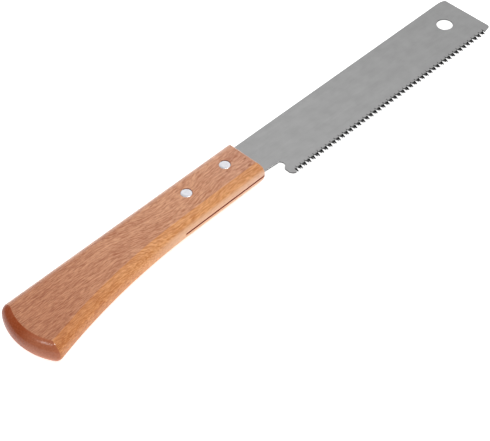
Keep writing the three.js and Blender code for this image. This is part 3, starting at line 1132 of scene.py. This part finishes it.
@dataclass
class Blade:
    """Thin blade with fine teeth, ground and set to either side in turn, and its hidden tang."""

    width: float = 31.2
    thickness: float = 0.6
    tip_length: float = 5.0
    tip_drop: float = 1.7
    toe_radius: float = 1.2
    toe_rise: float = 1.7
    toe_start_rise: float = 0.85
    hole_diameter: float = 8.0
    hole_from_end: float = 14.4
    hole_from_spine: float = 12.85
    teeth_per_inch: int = 18
    tooth_lead: float = 0.22
    tooth_depth: float = 2.35
    tip_facet: float = 0.64
    tip_facet_rise: float = 0.12
    gullet_flat: float = 0.08
    tooth_set: float = 0.16
    bend_height: float = 1.95
    # The bevels, from the tooth's front: how high they run, how far back the front one reaches at its
    # foot, two corners of the back one on the face it is ground from, and a point of it further down.
    bevel_rise: float = 2.7
    front_foot: Range = (0.55, 0.2)
    back_foot: Range = (0.15, 0.2)
    back_root: float = 1.1
    back_below: Triple = (0.5, 0.18, -0.2)
    # Where the ground-away solids start and stop before they are trimmed by the bevel's plane.
    front_span: Range = (-0.03, 0.9)
    back_start: float = -0.2
    grind_drop: float = 0.4
    grind_rise: float = 3.1
    grind_half: float = 0.6
    toe_length: float = 4.9
    heel_overhang: float = 3.1
    heel_radius: float = 2.8
    heel_arc_end: float = math.radians(255)
    relief_radius: float = 2.15
    relief_spread: float = math.radians(60)
    relief_behind: float = 2.8
    shoulder_drop: float = 1.05
    tang_width: float = 21.2
    tang_slope: float = 0.055
    tang_corner: float = 2.5
    tang_end: float = -59.5
    edge_ease: float = 0.07
    hole_beyond: float = 1.0
    arc_steps: int = 12
    hole_steps: int = 72
    bore: float = 5.8
    crease: float = 20.0
    finish: SawSteel = field(default_factory=SawSteel)

    def __post_init__(self) -> None:
        """Works out the tooth pitch and count and the notch's end."""
        self.pitch = INCH / self.teeth_per_inch
        self.teeth = math.floor((SAW.reach - self.toe_length) / self.pitch)
        self.relief_x = -self.relief_behind + self.relief_radius * math.cos(self.relief_spread)

    def _tang_y(self, x: float) -> float:
        """Lower edge of the tang."""
        return self.width - self.tang_width + (self.relief_x - x) * self.tang_slope

    def _draw_heel(self, outline: Outline) -> None:
        """Draws the tang's rear end and lower edge, the notch and the heel.

        Args:
            outline: the outline drawn.
        """
        relief = self.relief_radius * math.sin(self.relief_spread)
        centre = Vector((-self.relief_behind, self._tang_y(self.relief_x) - relief))
        shoulder_run = self.relief_x + self.heel_overhang
        shoulder = centre.y - relief - shoulder_run / math.tan(self.relief_spread)
        outline.to(self.tang_end, self.width - self.tang_corner)
        outline.to(self.tang_end, self._tang_y(self.tang_end) + self.tang_corner)
        outline.to(self.tang_end + self.tang_corner, self._tang_y(self.tang_end))
        outline.arc(centre, self.relief_radius, self.relief_spread, -self.relief_spread, self.arc_steps)
        start = Vector((self.relief_x, centre.y - relief))
        middle = Vector((-self.heel_overhang, shoulder))
        end = Vector((-self.heel_overhang, shoulder - self.shoulder_drop))
        for index in range(1, self.arc_steps // 2):
            share = index / (self.arc_steps // 2)
            point = start.lerp(middle, share).lerp(middle.lerp(end, share), share)
            outline.to(point.x, point.y)
        heel = Vector((self.heel_radius - self.heel_overhang, self.heel_radius))
        outline.arc(heel, self.heel_radius, math.pi, self.heel_arc_end, self.arc_steps)
        outline.to(self.tooth_lead + self.tip_facet - self.pitch, self.tip_facet_rise)
        outline.to(self.tooth_lead - self.gullet_flat, self.tooth_depth)

    def _draw_tooth(self, outline: Outline, index: int) -> None:
        """Draws one tooth and the gullet behind it.

        Args:
            outline: the outline drawn.
            index: which tooth, from the heel.
        """
        x = self.tooth_lead + index * self.pitch
        outline.to(x, self.tooth_depth - self.gullet_flat)
        outline.to(x, 0.0)
        outline.to(x + self.tip_facet, self.tip_facet_rise)
        if index < self.teeth - 1:
            outline.to(x + self.pitch - self.gullet_flat, self.tooth_depth)

    def _draw_toe(self, outline: Outline) -> None:
        """Draws the toe, the end edge and the rounded corner up to the spine.

        Args:
            outline: the outline drawn.
        """
        outline.to(self.teeth * self.pitch, self.toe_start_rise)
        toe = Vector((SAW.reach - self.toe_radius, self.toe_rise + self.toe_radius))
        outline.arc(toe, self.toe_radius, -math.pi / 2, 0, self.arc_steps // 2)
        for index in range(self.arc_steps + 1):
            turn = heading(math.pi / 2 * index / self.arc_steps)
            outline.to(SAW.reach - self.tip_length * (1 - turn.x),
                       self.width - self.tip_drop * (1 - turn.y))
        outline.to(self.tang_end + self.tang_corner, self.width)

    def _sheet(self) -> bpy.types.Object:
        """The toothed blank: its outline given a thickness, its long edges eased.

        Returns:
            The blank.
        """
        bm = bmesh.new()
        outline = Outline(bm, -self.thickness / 2)
        self._draw_heel(outline)
        for index in range(self.teeth):
            self._draw_tooth(outline, index)
        self._draw_toe(outline)
        edges = outline.close()
        face = bmesh.ops.contextual_create(bm, geom=edges)["faces"]
        grown = bmesh.ops.extrude_face_region(bm, geom=face)["geom"]
        top = [g for g in grown if isinstance(g, bmesh.types.BMVert)]
        bmesh.ops.translate(bm, vec=(0, 0, self.thickness), verts=top)
        bmesh.ops.recalc_face_normals(bm, faces=bm.faces)
        clear = self.bevel_rise + EASE_CLEARANCE
        for z in (-self.thickness / 2, self.thickness / 2):
            rim = [e for e in level_edges(bm.edges, z) if all(v.co.y > clear for v in e.verts)]
            bmesh.ops.bevel(bm, geom=rim, offset=self.edge_ease, segments=2, profile=0.5, affect="EDGES",
                            material=-1, clamp_overlap=True)
        return finish_mesh(bm, "steel_blade")

    def _hole(self, place: Vector, radius: float, ease: float) -> bpy.types.Object:
        """Solid of a round hole whose rims are eased.

        Args:
            place: where the hole stands.
            radius: its radius.
            ease: how far its rims are eased.

        Returns:
            The cutter.
        """
        half = self.thickness / 2
        wide, far = radius + ease + self.hole_beyond, half + self.hole_beyond
        upper = [(radius, half - ease), (radius + ease, half), (wide, far), (0.0, far)]
        bm = bmesh.new()
        lathe(bm, [(r, -z) for r, z in reversed(upper)] + upper, place, self.hole_steps)
        return finish_mesh(bm, "hole_cutter")

    def _wedge(self, index: int, low: Vector, high: Vector, plane: list[Vector]) -> bpy.types.Mesh:
        """Makes the solid that grinds one bevel of one tooth.

        Args:
            index: which tooth; even ones are ground from above and odd ones from below.
            low: least corner of the solid before it is trimmed, from the tooth's front.
            high: its greatest corner.
            plane: three points of the bevel, with what is ground away on their normal's side.

        Returns:
            The solid, in saw space.
        """
        bm = bmesh.new()
        block(bm, low, high)
        normal = (plane[1] - plane[0]).cross(plane[2] - plane[0])
        halved = bmesh.ops.bisect_plane(
            bm, geom=[*bm.verts, *bm.edges, *bm.faces], dist=MERGE_DISTANCE / 10, plane_co=plane[0],
            plane_no=normal, clear_inner=True,
        )
        rim = [g for g in halved["geom_cut"] if isinstance(g, bmesh.types.BMEdge)]
        bmesh.ops.contextual_create(bm, geom=rim)
        if index % 2:
            bmesh.ops.scale(bm, vec=(1, 1, -1), verts=bm.verts)
        bmesh.ops.translate(bm, vec=(self.tooth_lead + index * self.pitch, 0, 0), verts=bm.verts)
        bmesh.ops.recalc_face_normals(bm, faces=bm.faces)
        mesh = bpy.data.meshes.new("wedge")
        bm.to_mesh(mesh)
        bm.free()
        return mesh

    def _wedges(self, name: str, span: Range, plane: list[Vector]) -> bpy.types.Object:
        """Makes the solids that grind the same bevel of every tooth.

        Args:
            name: name of the cutter.
            span: where they start and stop along the saw, from each tooth's front.
            plane: three points of the bevel, with what is ground away on their normal's side.

        Returns:
            The cutter.
        """
        low = Vector((span[0], -self.grind_drop, -self.grind_half))
        high = Vector((span[1], self.grind_rise, self.grind_half))
        whole = bmesh.new()
        for index in range(self.teeth):
            mesh = self._wedge(index, low, high, plane)
            whole.from_mesh(mesh)
            bpy.data.meshes.remove(mesh)
        return finish_mesh(whole, name)

    def _front_wedges(self) -> bpy.types.Object:
        """Solids that grind the teeth's fronts.

        Returns:
            The cutter.
        """
        half = self.thickness / 2
        plane = [Vector((0, self.bevel_rise, half)), Vector((0, 0, -half)), Vector((*self.front_foot, half))]
        return self._wedges("front_wedges", self.front_span, plane)

    def _back_wedges(self) -> bpy.types.Object:
        """Solids that grind the teeth's backs.

        Returns:
            The cutter.
        """
        half = self.thickness / 2
        root, foot = Vector((self.back_root, self.bevel_rise, half)), Vector((*self.back_foot, half))
        span = (self.back_start, self.pitch - SLIVER)
        return self._wedges("back_wedges", span, [root, foot, Vector(self.back_below)])

    def _set_teeth(self, piece: bpy.types.Object) -> None:
        """Bends the teeth's points down and up in turn, and sorts their faces by how they are ground.

        Args:
            piece: the ground blade, whose mesh is changed.
        """
        bm = bmesh.new()
        bm.from_mesh(piece.data)
        bmesh.ops.transform(bm, matrix=SAW.matrix().inverted(), verts=bm.verts)
        start = self.tooth_lead - ROW_START_MARGIN
        end = self.tooth_lead + (self.teeth - 1) * self.pitch + self.tip_facet + ROW_END_MARGIN
        low = [f for f in bm.faces if min(v.co.y for v in f.verts) < self.bend_height]
        reach = list(dict.fromkeys(g for f in low for g in (*f.verts, *f.edges, f)))
        bmesh.ops.bisect_plane(bm, geom=reach, dist=MERGE_DISTANCE, plane_co=(0, self.bend_height, 0),
                               plane_no=(0, 1, 0))
        for vert in bm.verts:
            if start < vert.co.x < end and vert.co.y < self.bend_height:
                side = 1 if self._from_below(vert.co.x, start) else -1
                vert.co.z += side * self.tooth_set * (1 - vert.co.y / self.bend_height)
        bm.normal_update()
        for face in bm.faces:
            face.material_index = self._kind(face, start, end)
        bmesh.ops.transform(bm, matrix=SAW.matrix(), verts=bm.verts)
        bm.to_mesh(piece.data)
        bm.free()

    def _from_below(self, x: float, start: float) -> bool:
        """Whether the tooth at a place along the row is an odd one, ground from below and set upwards."""
        return math.floor((x - start) / self.pitch) % 2 == 1

    def _kind(self, face: bmesh.types.BMFace, start: float, end: float) -> int:
        """Finds how a face of the blade is finished. The flats of even teeth and the teeth's upright walls
        take the fronts' near-black as painted shade.

        Args:
            face: the face, in saw space.
            start: where the row of teeth starts along the saw.
            end: where it ends.

        Returns:
            Its material's number: 0 for the plate, 1 for a hardened flat, 2 for a front, 3 for a back.
        """
        middle = face.calc_center_median()
        highest = max(v.co.y for v in face.verts)
        if not start - FACE_MARGIN < middle.x < end or highest > self.bevel_rise + FACE_MARGIN:
            return 0
        if abs(face.normal.z) > FLAT_LEAN:
            # Painted shade: flats of even teeth, set the other way, take the fronts' near-black instead of
            # the hardened grey.
            tooth = 1 if self._from_below(middle.x, start) else 2
            return tooth if highest < self.bend_height + SLIVER else 0
        # Painted shade: upright walls take the fronts' near-black; backs get a slightly lighter colour by
        # which way they face.
        return 2 if face.normal.x < 0 or abs(face.normal.z) < WALL_LEAN else 3

    def build(self, rivets: list[Rivet]) -> bpy.types.Object:
        """Makes the blade.

        Args:
            rivets: the rivets its tang is bored for.

        Returns:
            The finished piece.
        """
        piece = self._sheet()
        hole = Vector((SAW.reach - self.hole_from_end, self.width - self.hole_from_spine))
        cut(piece, self._hole(hole, self.hole_diameter / 2, self.edge_ease))
        for rivet in rivets:
            cut(piece, self._hole(rivet.place, self.bore / 2, self.edge_ease))
        cut(piece, self._front_wedges())
        cut(piece, self._back_wedges())
        self._set_teeth(piece)
        shade(piece, self.crease)
        piece.data.materials.append(self.finish.plate_material())
        for ground in Ground:
            piece.data.materials.append(self.finish.tooth_material(ground))
        return fitted(piece, "saw_steel", "blade")


# ---- Studio ----


@dataclass(frozen=True)
class Softbox:
    """A square area light."""

    name: str
    direction: Triple
    distance: float
    size: float
    power: float


@dataclass
class Studio:
    """White sweep, even light, and the camera."""

    azimuth: float = 45.70
    elevation: float = 46.21
    distance: float = 742.24
    aim: Triple = (-38.43, -4.46, 0.15)
    focal_share: float = 3.48331
    sensor: float = 36.0
    clip: Range = (0.01, 20.0)
    sky: float = 1.0
    shade: float = 0.22
    shade_side: Triple = (-0.75, -0.65, 0.0)
    shade_band: Range = (-0.66, -0.36)
    floor_size: float = 6.0
    floor_gap: float = 0.3
    floor_colour: Colour = (0.8, 0.8, 0.8)
    floor_roughness: float = 0.9
    floor_glow: float = 0.8
    boxes: tuple[Softbox, ...] = (
        Softbox("overhead", (0.2, -0.3, 0.95), 1.5, 0.32, 13.0),
        Softbox("butt_light", (-0.6, 0.1, 0.77), 1.5, 0.3, 3.0),
    )

    def camera(self) -> None:
        """Adds the camera and makes it the scene's."""
        azimuth, elevation = math.radians(self.azimuth), math.radians(self.elevation)
        right = Vector((math.cos(azimuth), -math.sin(azimuth), 0))
        ahead = Vector((math.sin(azimuth) * math.cos(elevation), math.cos(azimuth) * math.cos(elevation),
                        -math.sin(elevation)))
        up = right.cross(ahead)
        data = bpy.data.cameras.new("camera")
        data.sensor_width = self.sensor
        data.lens = self.sensor * self.focal_share
        data.clip_start, data.clip_end = self.clip
        camera = put("camera", data)
        facing = Matrix((right, up, -ahead)).transposed().to_4x4()
        where = SAW.matrix() @ (Vector(self.aim) - ahead * self.distance)
        camera.matrix_world = Matrix.Translation(where) @ facing
        bpy.context.scene.camera = camera

    def floor(self) -> None:
        """Adds the white floor that the saw lies on."""
        bm = bmesh.new()
        low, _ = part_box("handle")
        height = low.z - self.floor_gap * MILLIMETRE
        bmesh.ops.create_grid(bm, x_segments=1, y_segments=1, size=self.floor_size / 2,
                              matrix=Matrix.Translation((0, 0, height)))
        floor = put_mesh(bm, "floor")
        shader = Shader("white_sweep")
        floor.data.materials.append(shader.surface(
            Base_Color=self.floor_colour,
            Roughness=self.floor_roughness,
            Emission_Color=WHITE,
            Emission_Strength=self.floor_glow,
        ))

    def _sky(self) -> None:
        """Adds the even light all round, which is dimmer on one side."""
        world = bpy.data.worlds.new("studio")
        world.use_nodes = True
        tree = world.node_tree
        where = tree.nodes.new("ShaderNodeTexCoord")
        toward = tree.nodes.new("ShaderNodeVectorMath")
        toward.operation = "DOT_PRODUCT"
        toward.inputs[1].default_value = Vector(self.shade_side).normalized()
        level = tree.nodes.new("ShaderNodeMapRange")
        level.interpolation_type = "SMOOTHSTEP"
        ends = {"From Min": self.shade_band[0], "From Max": self.shade_band[1],
                "To Min": self.sky, "To Max": self.shade}
        for name, value in ends.items():
            level.inputs[name].default_value = value
        background = tree.nodes["Background"]
        background.inputs["Color"].default_value = (*WHITE, 1.0)
        tree.links.new(where.outputs["Generated"], toward.inputs[0])
        tree.links.new(toward.outputs["Value"], level.inputs["Value"])
        tree.links.new(level.outputs["Result"], background.inputs["Strength"])
        bpy.context.scene.world = world

    def lights(self) -> None:
        """Adds the sky and the soft boxes."""
        self._sky()
        low, high = CAD_BOX
        centre = (low + high) / 2
        for box in self.boxes:
            data = bpy.data.lights.new(box.name, "AREA")
            data.shape = "SQUARE"
            data.size = box.size
            data.energy = box.power
            light = put(box.name, data)
            toward = Vector(box.direction).normalized()
            light.location = centre + toward * box.distance
            light.rotation_euler = toward.to_track_quat("Z", "Y").to_euler()

    def build(self) -> None:
        """Sets up camera, floor, lights and plain colour."""
        self.camera()
        self.floor()
        self.lights()
        bpy.context.scene.view_settings.view_transform = "Standard"


# Each rivet's name, and how far it lies behind the handle's front and below the spine.
RIVET_PLACES = (("front_rivet", 12.6, 8.75), ("rear_rivet", 36.85, 9.2))


def main() -> None:
    """Builds the saw and its studio."""
    logging.basicConfig(level=logging.INFO, format="%(name)s %(message)s")
    Studio().build()
    handle = Handle()
    blade = Blade()
    rivets = [
        Rivet(name, Vector((handle.front - behind, blade.width - below)))
        for name, behind, below in RIVET_PLACES
    ]
    metal = RivetMetal().material()
    pieces = [handle.build(rivets), blade.build(rivets), *(rivet.build(metal) for rivet in rivets)]
    for piece in pieces:
        LOG.info("%s: %d faces", piece.name, len(piece.data.polygons))


if __name__ == "__main__":
    main()
